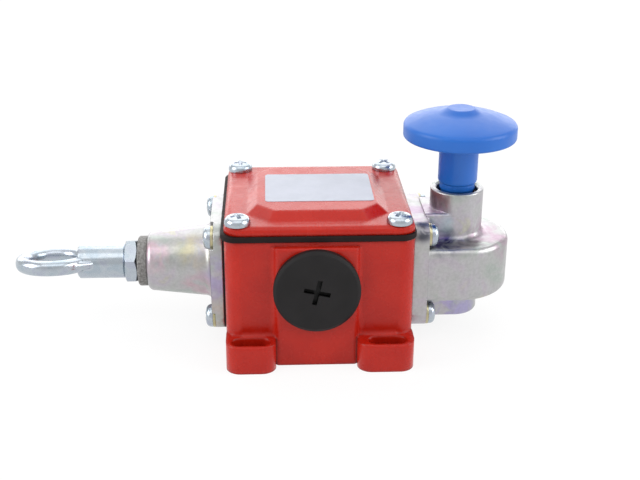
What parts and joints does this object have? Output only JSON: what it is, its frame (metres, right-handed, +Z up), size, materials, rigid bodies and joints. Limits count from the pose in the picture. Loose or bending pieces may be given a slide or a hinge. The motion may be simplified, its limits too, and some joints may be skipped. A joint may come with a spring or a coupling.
{
  "type": "rope pull switch",
  "caption": "Rope pull safety switch: red square housing with slotted feet, sprung pull rod with a rope eye at one end and a push reset knob on the other end's head.",
  "frame": {"origin": "centre of the four mounting slots, on the mounting face", "axes": "+X along the rope towards the reset head, with the rope eye at -X; +Y across the switch; +Z up from the mounting face towards the cover"},
  "size_m": [0.1972, 0.0882, 0.0902],
  "materials": {
    "red_paint": "gloss red enamel over a die casting, slight orange peel",
    "black_rubber": "matt black rubber",
    "black_plastic": "matt black moulded plastic",
    "zinc_casting": "zinc die casting with a faint iridescent passivation",
    "zinc_plated": "bright zinc plate",
    "steel": "plain machined steel",
    "bush_grey": "matt grey bearing material",
    "brass": "plain brass",
    "yellow_zinc": "yellow passivated zinc",
    "blue_plastic": "satin blue moulded plastic",
    "ivory_plastic": "ivory moulded plastic"
  },
  "bodies": {
    "base": {"housing": "red_paint", "cover_gasket": "black_rubber", "cover": "red_paint", "cover_screws": "zinc_plated", "cable_plug_front": "black_plastic", "cable_plug_rear": "black_plastic", "plug_seals": "black_rubber", "rope_head": "zinc_casting", "rope_head_gasket": "black_rubber", "rope_head_screws": "zinc_plated", "rope_head_washers": "yellow_zinc", "guide_bush": "bush_grey", "rod_wiper": "black_rubber", "inner_bush": "brass", "reset_head": "zinc_casting", "reset_head_gasket": "black_rubber", "reset_head_screws": "zinc_plated", "reset_head_washers": "yellow_zinc", "reset_seal": "black_rubber", "contact_bracket": "steel", "bracket_screws": "zinc_plated", "contact_block_left": "black_plastic", "contact_block_right": "black_plastic", "contact_screws": "zinc_plated", "terminal_screws": "brass", "plunger_spring_left": "steel", "plunger_spring_right": "steel", "earth_screw": "brass", "pull_spring": "steel", "reset_spring": "steel"},
    "rod": {"pull_rod": "steel", "spring_collar": "steel", "cam_sleeve": "steel", "retaining_ring": "steel", "lock_nut": "zinc_plated", "rope_eye": "zinc_plated"},
    "knob": {"reset_knob": "blue_plastic", "latch_plate": "steel", "latch_pin": "steel"},
    "plunger_left": {"plunger_left": "ivory_plastic"},
    "plunger_right": {"plunger_right": "ivory_plastic"}
  },
  "joints": [
    {"name": "rod_pull", "type": "slide", "parent": "base", "child": "rod", "axis": [-1, 0, 0], "range_m": [0, 0.012], "stiffness_N_per_m": 8000, "springref_m": -0.0025, "deforming": ["pull_spring"]},
    {"name": "reset_push", "type": "slide", "parent": "base", "child": "knob", "axis": [0, 0, -1], "range_m": [0, 0.006], "stiffness_N_per_m": 600, "springref_m": -0.002, "deforming": ["reset_spring"]},
    {"name": "plunger_left_lift", "type": "slide", "parent": "base", "child": "plunger_left", "axis": [0, 0, 1], "range_m": [0, 0.003], "stiffness_N_per_m": 100, "deforming": ["plunger_spring_left"]},
    {"name": "plunger_right_lift", "type": "slide", "parent": "base", "child": "plunger_right", "axis": [0, 0, 1], "range_m": [0, 0.003], "stiffness_N_per_m": 100, "deforming": ["plunger_spring_right"]}
  ],
  "couplings": [
    {"joint": "plunger_left_lift", "follows": "rod_pull", "ratio": 0.25},
    {"joint": "plunger_right_lift", "follows": "rod_pull", "ratio": 0.25}
  ]
}
